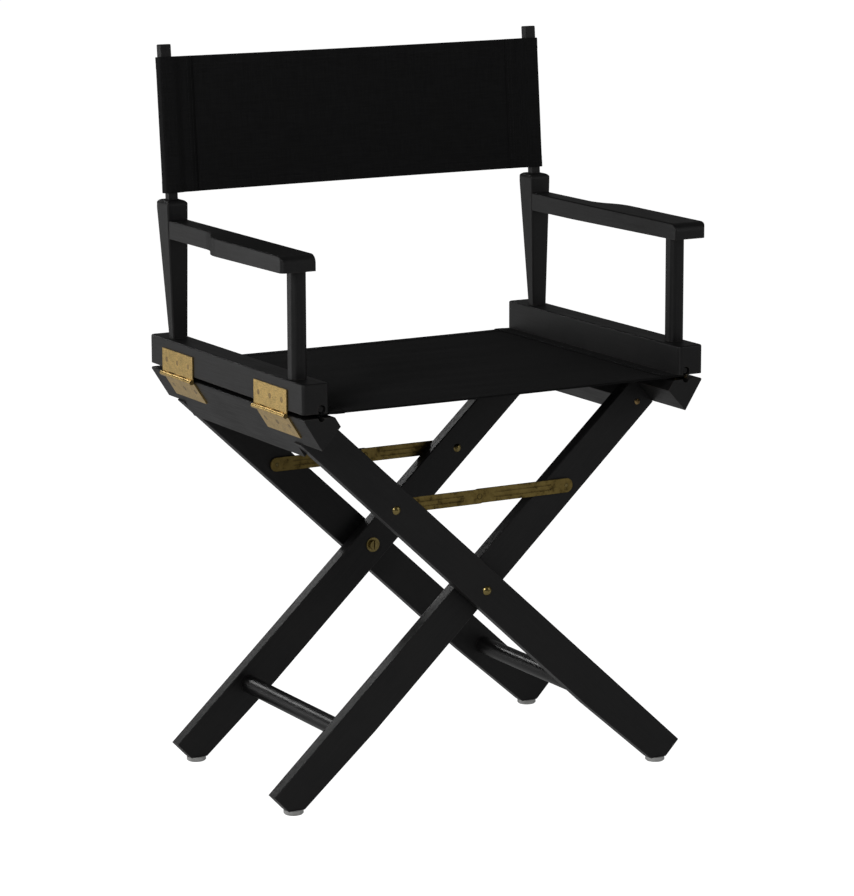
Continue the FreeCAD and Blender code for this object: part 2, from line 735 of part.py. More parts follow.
def make_rear_post(label):
    """Post with an upright front face that tapers to its foot, with round shoulders above."""
    blank = doc.addObject("PartDesign::Body", label + "_blank")
    low, high, x = S["rail_bottom"] + S["rail_height"], S["rear_post_top"], S["post_centre"]
    front, width, depth = S["rear_post_front"], S["rear_post_width"], S["rear_post_depth"]
    back, left, right = front + depth, x - width / 2, x + width / 2
    foot_x, foot_y = rear_post_foot()
    foot_section = sketch_on(blank, "XY_Plane", "FootSection", offset=low)
    outline(foot_section, *rounded_rectangle((foot_x, foot_y), S["rear_post_foot_width"],
                                             S["rear_post_foot_depth"], S["rear_post_edge"]))
    head_section = sketch_on(blank, "XY_Plane", "HeadSection", offset=S["rear_post_taper_end"])
    outline(head_section, *rounded_rectangle((x, front + depth / 2), width, depth, S["rear_post_edge"]))
    taper = blank.newObject("PartDesign::AdditiveLoft", "Taper")
    taper.Profile = foot_section
    taper.Sections = [head_section]
    blank.Tip = taper
    doc.recompute()
    pad(blank, head_section, high - S["rear_post_taper_end"])
    across = doc.addObject("PartDesign::Body", label + "_across")
    round_topped(across, "XZ_Plane", -back - 1, depth + 2, (left, right), (low, high),
                 S["rear_post_shoulder"])
    along = doc.addObject("PartDesign::Body", label + "_along")
    round_topped(along, "YZ_Plane", left - 1, width + 2, (front, back), (low, high),
                 S["rear_post_shoulder"])
    shoulders = doc.addObject("Part::Common", label + "_shoulders")
    shoulders.Base, shoulders.Tool = across, along
    shaped = doc.addObject("Part::Common", label + "_shaped")
    shaped.Base, shaped.Tool = blank, shoulders
    doc.recompute()
    tenon = cylinder(S["tenon_radius"], S["tenon_length"] + 1, foot_x, foot_y, low - S["tenon_length"])
    arm_hole = rod(S["tenon_radius"] + S["fit_gap"], S["armrest_tenon"] + 1,
                   x, front - 1, armrest_middle())
    play = S["fit_gap"] * 2
    socket = stick_bar(S["stick_neck_width"] + play, S["stick_neck_depth"] + play,
                       -S["stick_socket"] - 1, S["stick_socket"] * 2)
    return keep(cut(fuse([shaped, tenon]), fuse([arm_hole, socket]), label), label)


def armrest_middle():
    return (S["armrest_top"] + S["armrest_bottom_rear"]) / 2


def make_armrest(label):
    """Armrest, narrow at the back with an ogee step out to its front half and a rounded nose."""
    blank = doc.addObject("PartDesign::Body", label + "_blank")
    inner, front, rear = S["armrest_inner"], S["armrest_front"], S["rear_post_front"] - S["armrest_rear_gap"]
    narrow, wide = S["armrest_rear_outer"], S["armrest_front_outer"]
    swell_rear, swell_front = S["armrest_swell_rear"], S["armrest_swell_front"]
    across, along = wide - narrow, swell_rear - swell_front
    bend = (across * across + along * along) / (across * 4)
    half_way = ((narrow + wide) / 2, (swell_rear + swell_front) / 2)
    corner = S["armrest_corner"]
    plan = sketch_on(blank, "XY_Plane", "Plan", offset=S["armrest_bottom_rear"])
    outline(plan, [
        (inner, rear), (inner, front), (wide - corner, front), (wide, front + corner),
        (wide, swell_front), half_way, (narrow, swell_rear), (narrow, rear),
    ], arcs={2: ((wide - corner, front + corner), corner),
             4: ((wide - bend, swell_front), bend),
             5: ((narrow + bend, swell_rear), -bend)})
    pad(blank, plan, S["armrest_top"] - S["armrest_bottom_rear"])
    slab = doc.addObject("PartDesign::Body", label + "_slab")
    low, nose_low, top = S["armrest_bottom_rear"], S["armrest_bottom_front"], S["armrest_top"]
    nose = S["armrest_nose"]
    elevation = sketch_on(slab, "YZ_Plane", "Elevation", offset=inner - 1)
    outline(elevation, [
        (rear, low), (rear, top), (front + nose, top), (front, top - nose), (front, nose_low),
        (swell_rear, low),
    ], arcs={2: ((front + nose, top - nose), nose)})
    pad(slab, elevation, wide - inner + 2)
    shaped = doc.addObject("Part::Common", label + "_shaped")
    shaped.Base, shaped.Tool = blank, slab
    doc.recompute()
    eased = doc.addObject("Part::Fillet", label + "_eased")
    eased.Base = shaped
    edge_round = S["armrest_edge"].value
    eased.Edges = [(i, edge_round, edge_round) for i, edge in enumerate(shaped.Shape.Edges, start=1)
                   if runs_along_top(edge)]
    rear_tenon = rod(S["tenon_radius"], S["armrest_tenon"], S["post_centre"], rear - 1, armrest_middle())
    mortise = cylinder(S["tenon_radius"] + S["fit_gap"], S["tenon_length"] + nose_low - low,
                       S["front_post_centre"], S["front_post_place"], low)
    return keep(cut(fuse([eased, rear_tenon]), mortise, label), label)


def runs_along_top(edge):
    """True for the upper edges of the armrest's long sides, nose included."""
    box_of_edge = edge.BoundBox
    across_nose = box_of_edge.YLength < TOLERANCE
    low_corner = box_of_edge.ZMin < S["armrest_top"].value - S["armrest_nose"].value - TOLERANCE
    upright = box_of_edge.ZLength > TOLERANCE and across_nose
    return not across_nose and not low_corner and not upright


def stick_bar(width, depth, start, length):
    """A square bar along the leaning back stick, from start above the post's top."""
    bar = box(width, depth, length)
    lean = S["stick_lean"]
    base_y = S["stick_place"] + sine(lean) * start - cosine(lean) * depth / 2
    base_z = S["rear_post_top"] + cosine(lean) * start + sine(lean) * depth / 2
    return place(bar, S["post_centre"] - width / 2, base_y, base_z, axis=(1, 0, 0), angle=-lean)


def make_back_stick(label):
    """Back stick: a slim neck in the rear post's socket and a broader blade above."""
    neck_end = S["stick_blade_start"]
    height = (S["stick_top"] - S["rear_post_top"]) / cosine(S["stick_lean"])
    rise = sine(S["stick_lean"]) * S["stick_depth"] / 2
    neck = stick_bar(S["stick_neck_width"], S["stick_neck_depth"], -S["stick_socket"],
                     S["stick_socket"] + neck_end + 1)
    blade = stick_bar(S["stick_width"], S["stick_depth"], neck_end, height - rise - neck_end)
    eased = doc.addObject("Part::Fillet", "EasedBlade")
    eased.Base = blade
    doc.recompute()
    eased.Edges = [(i, S["stick_edge"].value, S["stick_edge"].value)
                   for i, edge in enumerate(blade.Shape.Edges, start=1)]
    return keep(fuse([neck, eased], label), label)


# ---- canvas --------------------------------------------------------------------------------------

def make_seat_canvas(label):
    """Seat sling: a flat panel with a hem round the dowel in each side rail."""
    level, gauge, depth = S["seat_level"], S["canvas_gauge"], S["seat_depth"]
    reach, hem = S["groove_centre"], S["seat_hem_radius"]
    start = -depth / 2
    panel = box(reach * 2, depth, gauge, -reach, start, level)
    cloth = [panel]
    holes = []
    for side in (-1, 1):
        x = reach * side
        cloth.append(rod(hem, depth, x, start, S["seat_dowel_level"]))
        throat = S["seat_dowel_level"] - level
        cloth.append(box(S["seat_throat"], depth, throat, x - S["seat_throat"] / 2, start, level))
        holes.append(rod(S["seat_dowel_radius"] + S["sleeve_gap"], depth, x, start, S["seat_dowel_level"]))
    return keep(cut(fuse(cloth), fuse(holes), label), label)


def make_seat_dowel(label):
    bar = rod(S["seat_dowel_radius"], S["seat_depth"], S["groove_centre"], -S["seat_depth"] / 2,
              S["seat_dowel_level"])
    return keep(bar, label)


def leaning_box(width, depth, low, high, x):
    """A box in the plane of the back sticks between two levels of the chair."""
    lean = S["stick_lean"]
    start = (low - S["rear_post_top"]) / cosine(lean)
    length = (high - low) / cosine(lean)
    bar = box(width, depth, length)
    base_y = S["stick_place"] + sine(lean) * start - cosine(lean) * depth / 2
    base_z = S["rear_post_top"] + cosine(lean) * start + sine(lean) * depth / 2
    return place(bar, x, base_y, base_z, axis=(1, 0, 0), angle=-lean)


def make_back_canvas(label):
    """Back sling: a flat panel with an open sleeve round each back stick."""
    low, high, gauge = S["back_low"], S["back_high"], S["canvas_gauge"]
    centre, width, depth = S["post_centre"], S["sleeve_width"], S["sleeve_depth"]
    cloth = [leaning_box(centre * 2, gauge, low, high, -centre)]
    holes = []
    for side in (-1, 1):
        cloth.append(leaning_box(width, depth, low, high, centre * side - width / 2))
        inside = width - gauge * 2
        holes.append(leaning_box(inside, depth - gauge * 2, low - 2, high + 2, centre * side - inside / 2))
    return keep(cut(fuse(cloth), fuse(holes), label), label)


# ---- folding stays --------------------------------------------------------------------------------

def stay_plane(place_on_y, side):
    """Front face of a stay link: the two links of a stay lie side by side between the legs."""
    gap = (S["leg_gap"] - S["stay_gauge"] * 2) / 3
    front = S["leg_gauge"] - S["front_leg_face"]
    rear = S["rear_leg_face"] - S["leg_gauge"] - S["leg_gap"]
    first = (place_on_y == "front") == (side < 0)
    base = front if place_on_y == "front" else rear
    return base + gap if first else base + gap * 2 + S["stay_gauge"]


def make_stay_link(label, place_on_y, side):
    """Half of a folding stay: a flat brass bar with round ends and two pressed grooves."""
    blank = doc.addObject("PartDesign::Body", label + "_blank")
    end_x, level = on_leg(side, S["stay_reach"], -S["stay_drop"])
    half = S["stay_width"] / 2
    left, right = (end_x, Size.of(0)) if side < 0 else (Size.of(0), end_x)
    profile = sketch_on(blank, "XZ_Plane", "LinkOutline")
    outline(profile, [(left, level - half), (right, level - half), (right, level + half),
                      (left, level + half)],
            arcs={1: ((right, level), half), 3: ((left, level), half)})
    pad(blank, profile, S["stay_gauge"])
    front = stay_plane(place_on_y, side)
    place(blank, y=front + S["stay_gauge"])
    margin = S["stay_groove_margin"]
    length = right - left - margin * 2
    tools = [rod(S["stay_bolt_radius"] + S["pivot_clearance"], S["stay_gauge"], end_x, front, level),
             rod(S["stay_bolt_radius"] + S["pivot_clearance"], S["stay_gauge"], 0, front, level)]
    for step in (-1, 1):
        z = level + S["stay_groove_level"] * step - S["stay_groove_width"] / 2
        tools.append(box(length, S["stay_groove_depth"], S["stay_groove_width"], left + margin, front, z))
    return keep(cut(blank, fuse(tools), label), label)


def make_stay_rivet(place_on_y, side):
    """Half of the stay's middle rivet, in the link that it belongs to."""
    front = stay_plane(place_on_y, side)
    level = on_leg(side, S["stay_reach"], -S["stay_drop"])[1]
    faces_front = (place_on_y == "front") == (side < 0)
    point = front if faces_front else front + S["stay_gauge"]
    height = (S["leg_gap"] - S["stay_gauge"] * 2) / 3 - S["stay_rivet_clearance"]
    return dome_bolt(0, point, level, S["stay_rivet_head"], height, S["stay_bolt_radius"],
                     S["stay_gauge"], faces_front)


def make_stay_bolts(label, side):
    """The bolts that hold one frame's stay ends, front and rear."""
    x, z = on_leg(side, S["stay_reach"], -S["stay_drop"])
    bolts = []
    for place_on_y, face in zip(("front", "rear"), leg_faces(side)):
        link = stay_plane(place_on_y, side)
        toward_rear = (place_on_y == "front") == (side < 0)
        if toward_rear:
            length = link + S["stay_gauge"] - face
            bolts.append(dome_bolt(x, face, z, S["stay_head_radius"], S["stay_head_height"],
                                   S["stay_bolt_radius"], length, True))
        else:
            tail = face + S["leg_gauge"]
            bolts.append(dome_bolt(x, tail, z, S["stay_head_radius"], S["stay_head_height"],
                                   S["stay_bolt_radius"], tail - link, False))
    return group(bolts, label)


# ---- pivots ---------------------------------------------------------------------------------------

def make_pivots():
    """The two pivot bolts with their spacers and nuts, front and rear."""
    gauge, gap, level = S["leg_gauge"], S["leg_gap"], S["pivot_height"]
    play = S["fit_gap"]
    stack = gauge * 2 + gap
    outer_faces = (-S["front_leg_face"], S["rear_leg_face"])
    bolts, spacers, nuts = [], [], []
    for face, forwards in zip(outer_faces, (True, False)):
        step = 1 if forwards else -1
        length = stack + S["washer_gauge"] + S["pivot_nut_height"] / 2
        bolts.append(dome_bolt(0, face - play * step, level, S["bolt_head_radius"],
                               S["bolt_head_height"], S["pivot_radius"], length, forwards))
        start = face + (gauge + play) * step
        width = gap - play * 2
        ring = rod(S["washer_radius"], width, 0, start if forwards else start - width, level)
        hole = rod(S["pivot_radius"] + S["pivot_clearance"], width, 0,
                   start if forwards else start - width, level)
        spacers.append(cut(ring, hole))
        tail = face + (stack + play) * step
        nuts.append(slotted_nut(Size.of(0), tail, level, S["washer_radius"], S["bolt_head_radius"],
                                S["pivot_radius"] + S["pivot_clearance"], S["washer_gauge"],
                                S["pivot_nut_height"], not forwards))
    group(bolts, "pivot_bolts")
    group(spacers, "pivot_spacers")
    group(nuts, "pivot_nuts")


# ---- the chair ------------------------------------------------------------------------------------

make_pivots()

for side, frame in FRAME_OF_SIDE.items():
    front_face, rear_face = leg_faces(side)
    make_leg(frame + "_front_leg", side, front_face, rail_behind=True)
    make_leg(frame + "_rear_leg", side, rear_face, rail_behind=False)
    make_leg_rail(frame + "_leg_rail", side)
    make_stretcher(frame + "_stretcher", side)
    make_glides(frame + "_foot_glides", side)
    group([leg_screw(side, front_face, True), leg_screw(side, rear_face + S["leg_gauge"], False)],
          frame + "_leg_screws")
    make_stay_bolts(frame + "_stay_bolts", side)
    for place_on_y in ("front", "rear"):
        stay = "{}_{}_stay".format(frame, place_on_y)
        make_stay_link(stay + "_link", place_on_y, side)
        keep(make_stay_rivet(place_on_y, side), stay + "_rivet")

right_side = {
    "side_rail": make_side_rail,
    "front_arm_post": make_front_post,
    "rear_arm_post": make_rear_post,
    "armrest": make_armrest,
    "back_stick": make_back_stick,
    "seat_dowel": make_seat_dowel,
    "hinge_pins": make_hinge_pins,
    "upper_hinge_leaves": lambda label: make_leaves(label, None, (0, 2, 4)),
    "lower_hinge_leaves": lambda label: make_leaves(label, S["leg_rail_slope"], (1, 3)),
    "upper_hinge_screws": lambda label: make_hinge_screws(label, None),
    "lower_hinge_screws": lambda label: make_hinge_screws(label, S["leg_rail_slope"]),
}
for name, maker in right_side.items():
    mirrored(maker("right_" + name), "left_" + name)

make_seat_canvas("seat_canvas")
make_back_canvas("back_canvas")

doc.recompute()
for feature in doc.Objects:
    if "Invalid" in feature.State or "Error" in feature.State:
        raise RuntimeError("{} {} did not compute: {}".format(feature.Name, feature.Label, feature.State))

os.makedirs("parts", exist_ok=True)
for feature in nodes:
    shape = feature.Shape
    if shape.isNull() or not shape.isValid() or not shape.Solids:
        raise RuntimeError(feature.Label + " has no valid solid")
    shape.exportStep(os.path.join("parts", feature.Label + ".step"))
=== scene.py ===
import math

import bpy
import bmesh
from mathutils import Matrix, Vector, noise


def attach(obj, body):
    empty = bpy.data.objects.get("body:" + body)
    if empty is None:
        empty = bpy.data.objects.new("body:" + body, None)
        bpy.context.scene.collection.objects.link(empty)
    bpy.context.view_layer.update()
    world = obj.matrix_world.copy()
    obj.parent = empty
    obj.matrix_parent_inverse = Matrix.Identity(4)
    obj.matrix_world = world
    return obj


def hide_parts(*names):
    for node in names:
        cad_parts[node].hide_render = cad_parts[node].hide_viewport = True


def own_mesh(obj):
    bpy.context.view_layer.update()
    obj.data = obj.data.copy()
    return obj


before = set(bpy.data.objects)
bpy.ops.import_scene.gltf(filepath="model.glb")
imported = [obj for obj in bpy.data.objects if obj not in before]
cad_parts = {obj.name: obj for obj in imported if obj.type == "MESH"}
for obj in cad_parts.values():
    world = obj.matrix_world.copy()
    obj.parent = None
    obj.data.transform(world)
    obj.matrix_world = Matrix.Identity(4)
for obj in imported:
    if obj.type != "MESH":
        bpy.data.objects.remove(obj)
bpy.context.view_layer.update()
MM = 0.001

# ---- shader building ----------------------------------------------------------------------------


class Shader:
    """One node material on a Principled shader, painted in the object's own coordinates."""

    def __init__(self, name, **sockets):
        self.material = bpy.data.materials.new(name)
        self.material.use_nodes = True
        self.tree = self.material.node_tree
        self.principled = self.tree.nodes["Principled BSDF"]
        for socket, value in sockets.items():
            self.principled.inputs[socket.replace("_", " ")].default_value = value
        self.place = self.node("ShaderNodeTexCoord").outputs["Object"]

    def node(self, kind, **settings):
        made = self.tree.nodes.new(kind)
        for name, value in settings.items():
            setattr(made, name, value)
        return made

    def feed(self, source, socket):
        """Gives a socket a number, a vector or another node's output."""
        if isinstance(source, bpy.types.NodeSocket):
            self.tree.links.new(source, socket)
        else:
            socket.default_value = source

    def math(self, operation, first, second=0.0):
        made = self.node("ShaderNodeMath", operation=operation)
        self.feed(first, made.inputs[0])
        self.feed(second, made.inputs[1])
        return made.outputs[0]

    def turned(self, angle):
        """The object's coordinates, turned about Y by an angle in degrees."""
        made = self.node("ShaderNodeMapping")
        self.feed(self.place, made.inputs["Vector"])
        made.inputs["Rotation"].default_value = (0, math.radians(angle), 0)
        return made.outputs["Vector"]

    def stretched(self, vector, scale):
        made = self.node("ShaderNodeMapping")
        self.feed(vector, made.inputs["Vector"])
        made.inputs["Scale"].default_value = scale
        return made.outputs["Vector"]

    def noise(self, vector, scale, detail=3.0, roughness=0.5):
        made = self.node("ShaderNodeTexNoise")
        self.feed(vector, made.inputs["Vector"])
        made.inputs["Scale"].default_value = scale
        made.inputs["Detail"].default_value = detail
        made.inputs["Roughness"].default_value = roughness
        return made.outputs["Fac"]

    def along(self, vector, direction):
        """How far the coordinates lie along a direction."""
        made = self.node("ShaderNodeVectorMath", operation="DOT_PRODUCT")
        self.feed(vector, made.inputs[0])
        made.inputs[1].default_value = direction
        return made.outputs["Value"]

    def between(self, value, low, high, to_low=0.0, to_high=1.0):
        """Maps low..high to to_low..to_high, held at both ends."""
        made = self.node("ShaderNodeMapRange")
        self.feed(value, made.inputs["Value"])
        limits = {"From Min": low, "From Max": high, "To Min": to_low, "To Max": to_high}
        for name, number in limits.items():
            made.inputs[name].default_value = number
        return made.outputs["Result"]

    def mix(self, share, first, second):
        made = self.node("ShaderNodeMix", data_type="RGBA")
        self.feed(share, made.inputs["Factor"])
        for colour, socket in ((first, made.inputs[6]), (second, made.inputs[7])):
            self.feed(colour if isinstance(colour, bpy.types.NodeSocket) else (*colour, 1), socket)
        return made.outputs[2]

    def edge(self, radius, low, high):
        """1 at the piece's edges and 0 on its faces."""
        bevel = self.node("ShaderNodeBevel", samples=6)
        bevel.inputs["Radius"].default_value = radius
        face = self.node("ShaderNodeNewGeometry").outputs["Normal"]
        made = self.node("ShaderNodeVectorMath", operation="DOT_PRODUCT")
        self.feed(bevel.outputs["Normal"], made.inputs[0])
        self.feed(face, made.inputs[1])
        return self.between(made.outputs["Value"], high, low)

    def bump(self, height, strength, distance):
        made = self.node("ShaderNodeBump")
        self.feed(height, made.inputs["Height"])
        made.inputs["Strength"].default_value = strength
        made.inputs["Distance"].default_value = distance
        return made.outputs["Normal"]

    def finish(self, colour, roughness, normal):
        self.feed(colour, self.principled.inputs["Base Color"])
        self.feed(roughness, self.principled.inputs["Roughness"])
        self.feed(normal, self.principled.inputs["Normal"])
        return self.material


GRAIN_ALONG_Y = (1.0, 0.035, 1.0)
GRAIN_ALONG_Z = (1.0, 1.0, 0.035)


def painted_wood(name, grain, turn=0.0, shine=0.0):
    """Satin black paint over open-grained hardwood, its edges painted a little lighter: partly paint
    worn through and partly a painted edge highlight. grain squeezes the noise along the fibres, turn
    is the fibres' slope in degrees and shine lowers the roughness."""
    s = Shader(name, Specular_IOR_Level=0.32)
    fibre = s.stretched(s.turned(turn), grain)
    streaks = s.noise(fibre, 520, 4, 0.6)
    pores = s.between(s.noise(fibre, 1500, 2), 0.60, 0.72)
    clouds = s.noise(s.place, 14, 3)
    film = s.noise(s.place, 700, 2)
    black = s.mix(s.between(clouds, 0.35, 0.65), (0.0042, 0.0042, 0.0046), (0.0075, 0.0072, 0.0072))
    black = s.mix(s.between(streaks, 0.42, 0.70, 0.0, 0.5), black, (0.013, 0.0125, 0.0125))
    patchy = s.between(s.noise(s.place, 90, 4), 0.42, 0.62, 0.15, 0.8)
    # Edges painted lighter in patches: partly worn paint, partly a painted highlight along the edges.
    worn_and_highlit_edges = s.math("MULTIPLY", s.edge(1.6 * MM, 0.86, 0.995), patchy)
    colour = s.mix(worn_and_highlit_edges, black, (0.055, 0.049, 0.044))
    gloss = s.math("ADD", s.between(streaks, 0.3, 0.7, 0.38 - shine, 0.50 - shine),
                   s.between(clouds, 0.3, 0.7, -0.03, 0.05))
    surface = s.math("ADD", streaks, s.math("MULTIPLY", film, 0.25))
    relief = s.math("SUBTRACT", surface, s.math("MULTIPLY", pores, 0.6))
    return s.finish(colour, gloss, s.bump(relief, 0.35, 0.22 * MM))


def canvas(name, across, along, shade):
    """Heavy plain-weave cotton. across and along are the two directions of its threads."""
    s = Shader(name, Specular_IOR_Level=0.06, Sheen_Weight=0.02, Sheen_Roughness=0.6)
    pitch = 0.9 * MM
    drift = s.math("MULTIPLY", s.noise(s.place, 120, 2), 0.5 * MM)
    u = s.math("ADD", s.along(s.place, across), drift)
    v = s.math("ADD", s.along(s.place, along), drift)
    over_u, over_v = (s.math("SINE", s.math("MULTIPLY", t, math.pi / pitch)) for t in (u, v))
    thread_u, thread_v = (s.math("POWER", s.math("ABSOLUTE", wave), 0.6) for wave in (over_u, over_v))
    crossing = s.math("MULTIPLY_ADD", s.math("MULTIPLY", over_u, over_v), 0.5)
    crossing.node.inputs[2].default_value = 0.5
    weave = s.math("MULTIPLY", crossing, s.math("MULTIPLY", thread_u, thread_v))
    slub_u = s.noise(s.stretched(s.place, (30, 1, 1)), 38, 2)
    slub_v = s.noise(s.stretched(s.place, (1, 30, 30)), 38, 2)
    uneven = s.math("MULTIPLY", s.math("ADD", slub_u, slub_v), 0.5)
    # The colour is painted darker in the weave's hollows and lighter on its raised crossings,
    # following the bump: painted shade and painted highlight.
    dark, light = tuple(c * 0.55 for c in shade), tuple(c * 1.5 for c in shade)
    colour = s.mix(s.between(weave, 0.0, 0.8), dark, light)
    colour = s.mix(s.between(uneven, 0.42, 0.58, 0.0, 0.4), colour, tuple(c * 1.9 for c in shade))
    relief = s.math("ADD", weave, s.math("MULTIPLY", uneven, 0.6))
    return s.finish(colour, s.between(uneven, 0.3, 0.7, 0.82, 0.94), s.bump(relief, 0.6, 0.22 * MM))


def thread(name, shade):
    """Twisted sewing thread."""
    s = Shader(name, Specular_IOR_Level=0.25, Sheen_Weight=0.05)
    twist = s.math("SINE", s.math("MULTIPLY", s.along(s.place, (1, 1, 1)), 2 * math.pi / (0.7 * MM)))
    dark, light = tuple(c * 0.6 for c in shade), tuple(c * 1.6 for c in shade)
    # The colour is painted darker in the grooves of the twist and lighter on its ridges, following the
    # bump: painted shade and painted highlight.
    colour = s.mix(s.between(twist, -1, 1), dark, light)
    return s.finish(colour, s.between(twist, -1, 1, 0.6, 0.75), s.bump(twist, 0.5, 0.08 * MM))


def brass(name, bright, dull, tarnish, gloss, stained):
    """Rolled brass with brushed lines, stains, and tarnish along its edges. gloss is its roughness
    and stained how far the stains spread."""
    s = Shader(name, Metallic=1.0)
    lines = s.noise(s.stretched(s.place, (1.0, 0.05, 1.0)), 1400, 3, 0.6)
    stains = s.noise(s.place, 95, 5, 0.65)
    pits = s.between(s.noise(s.place, 1300, 2), 0.68, 0.76)
    colour = s.mix(s.between(stains, 0.40, 0.66), bright, dull)
    rim = s.math("MULTIPLY", s.edge(1.2 * MM, 0.80, 0.99), s.between(stains, 0.35, 0.6, 0.25, 0.9))
    dirt = s.math("MAXIMUM", rim, s.between(stains, 0.66 - stained, 0.80 - stained, 0.0, 0.7))
    colour = s.mix(dirt, colour, tarnish)
    brushed = s.between(lines, 0.3, 0.7, gloss - 0.06, gloss + 0.08)
    rough = s.math("ADD", brushed, s.math("MULTIPLY", dirt, 0.2))
    relief = s.math("SUBTRACT", lines, s.math("MULTIPLY", pits, 0.8))
    return s.finish(colour, rough, s.bump(relief, 0.25, 0.1 * MM))


def moulded_plastic(name):
    """Pale moulded plastic with a little grime."""
    s = Shader(name)
    specks = s.noise(s.place, 900, 2)
    grime = s.noise(s.place, 60, 4)
    colour = s.mix(s.between(grime, 0.4, 0.65), (0.50, 0.50, 0.49), (0.34, 0.34, 0.33))
    return s.finish(colour, s.between(grime, 0.3, 0.7, 0.42, 0.6), s.bump(specks, 0.3, 0.12 * MM))


LEAN = math.radians(4.9)
# The seat and back are one black canvas, but the back's copy is painted lighter and the seat's darker:
# painted light and painted shade for how the lamps fall on them.
SEAT_TONE_PAINTED_DARKER, BACK_TONE_PAINTED_LIGHTER = (0.0062, 0.0062, 0.0064), (0.0100, 0.0100, 0.0103)
seat_cloth = canvas("seat_canvas_weave", (1, 0, 1), (0, 1, 0), SEAT_TONE_PAINTED_DARKER)
back_cloth = canvas("back_canvas_weave", (1, math.cos(LEAN), -math.sin(LEAN)), (0, 0, 1), BACK_TONE_PAINTED_LIGHTER)
black_thread = thread("black_thread", (0.010, 0.010, 0.011))
bright_brass = brass("bright_brass", (0.70, 0.48, 0.17), (0.54, 0.38, 0.14), (0.20, 0.13, 0.04),
                     gloss=0.27, stained=0.0)
screw_brass = brass("screw_brass", (0.42, 0.29, 0.12), (0.28, 0.19, 0.09), (0.07, 0.045, 0.02),
                    gloss=0.30, stained=0.06)
bolt_brass = brass("bolt_brass", (0.33, 0.26, 0.10), (0.20, 0.155, 0.06), (0.035, 0.026, 0.012),
                   gloss=0.22, stained=0.05)
aged_brass = brass("aged_brass", (0.28, 0.205, 0.065), (0.17, 0.12, 0.036), (0.03, 0.022, 0.009),
                   gloss=0.36, stained=0.10)
wood_along_y = painted_wood("black_wood_lengthwise", GRAIN_ALONG_Y)
wood_upright = painted_wood("black_wood_upright", GRAIN_ALONG_Z)
LEG_TURN = 47.0
wood_of_legs = {
    "outer": painted_wood("black_wood_outer_legs", GRAIN_ALONG_Z, LEG_TURN),
    "inner": painted_wood("black_wood_inner_legs", GRAIN_ALONG_Z, -LEG_TURN),
}
gloss_wood = painted_wood("black_wood_stretchers", GRAIN_ALONG_Y, shine=0.12)
glide_plastic = moulded_plastic("glide_plastic")


def material_for(node):
    if "glides" in node:
        return glide_plastic
    if "bolts" in node or "nuts" in node:
        return bolt_brass
    if "stay" in node or "pivot" in node:
        return aged_brass
    if "screws" in node:
        return screw_brass
    if "hinge" in node:
        return bright_brass
    if "stretcher" in node:
        return gloss_wood
    if node.endswith("_leg"):
        return wood_of_legs[node.split("_")[0]]
    if "post" in node or "stick" in node:
        return wood_upright
    return wood_along_y


for node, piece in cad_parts.items():
    piece.data.materials.clear()
    piece.data.materials.append(material_for(node))

# ---- cloth --------------------------------------------------------------------------------------

GAUGE = 1.2
HEM = 15.0
STITCH_LINE = 11.0
STITCH_FRONT, STITCH_BACK = 0.55, -1.2
SEAM_STITCH = 1.75
NEAR_EDGE = (0.0, 0.35, 0.8, 1.4, 3.0, 7.0, 10.2, 11.0, 11.8, 14.2, 15.0, 15.8, 19.0)
PANEL_COLUMNS = 70


def skin(name, front, back, material):
    """A closed thin piece from two grids of points, given in millimetres, joined round their rims."""
    rows, columns = len(front), len(front[0])
    mesh = bmesh.new()
    grids = [[[mesh.verts.new(Vector(p) * MM) for p in row] for row in grid] for grid in (front, back)]
    top, bottom = grids
    for i in range(rows - 1):
        for j in range(columns - 1):
            mesh.faces.new((top[i][j], top[i][j + 1], top[i + 1][j + 1], top[i + 1][j]))
            mesh.faces.new((bottom[i][j], bottom[i + 1][j], bottom[i + 1][j + 1], bottom[i][j + 1]))
    for j in range(columns - 1):
        mesh.faces.new((top[0][j], bottom[0][j], bottom[0][j + 1], top[0][j + 1]))
        mesh.faces.new((top[-1][j], top[-1][j + 1], bottom[-1][j + 1], bottom[-1][j]))
    for i in range(rows - 1):
        mesh.faces.new((top[i][0], top[i + 1][0], bottom[i + 1][0], bottom[i][0]))
        mesh.faces.new((top[i][-1], bottom[i][-1], bottom[i + 1][-1], top[i + 1][-1]))
    bmesh.ops.recalc_face_normals(mesh, faces=mesh.faces)
    return new_piece(name, mesh, material)


def new_piece(name, mesh, material):
    """Turns a bmesh into a smooth-shaded object of the scene."""
    data = bpy.data.meshes.new(name)
    mesh.to_mesh(data)
    mesh.free()
    data.polygons.foreach_set("use_smooth", [True] * len(data.polygons))
    data.materials.append(material)
    piece = bpy.data.objects.new(name, data)
    bpy.context.scene.collection.objects.link(piece)
    return piece


def spaced(low, high, step):
    """Places from low to high, close together near both ends where the hems are."""
    inner_low, inner_high = low + NEAR_EDGE[-1], high - NEAR_EDGE[-1]
    count = max(2, round((inner_high - inner_low) / step))
    middle = [inner_low + (inner_high - inner_low) * k / count for k in range(1, count)]
    return [low + d for d in NEAR_EDGE] + middle + [high - d for d in reversed(NEAR_EDGE)]


def hem_thickness(distance, single, double):
    """Thickness of hemmed cloth at a distance from its folded edge, dimpled along the stitches."""
    half = double / 2
    if distance < half:
        return max(0.3, 2 * math.sqrt(max(0.0, half * half - (half - distance) ** 2)))
    rise = min(1.0, max(0.0, (HEM - distance + 0.6) / 1.2))
    dimple = 0.35 * math.exp(-((distance - STITCH_LINE) / 0.9) ** 2)
    return single + (double - single) * rise - dimple * rise


def puckers(along, seed):
    """Small gathers that a row of stitches leaves in a hem."""
    return noise.noise(Vector((along / 9.0, seed, 0.0)))


def wrinkle(u, v, seed):
    """Faint slack in a taut panel: long waves that run between the two held ends."""
    return (0.8 * noise.noise(Vector((u / 260.0, v / 34.0, seed)))
            + 0.35 * noise.noise(Vector((u / 90.0, v / 18.0, seed + 7.0))))


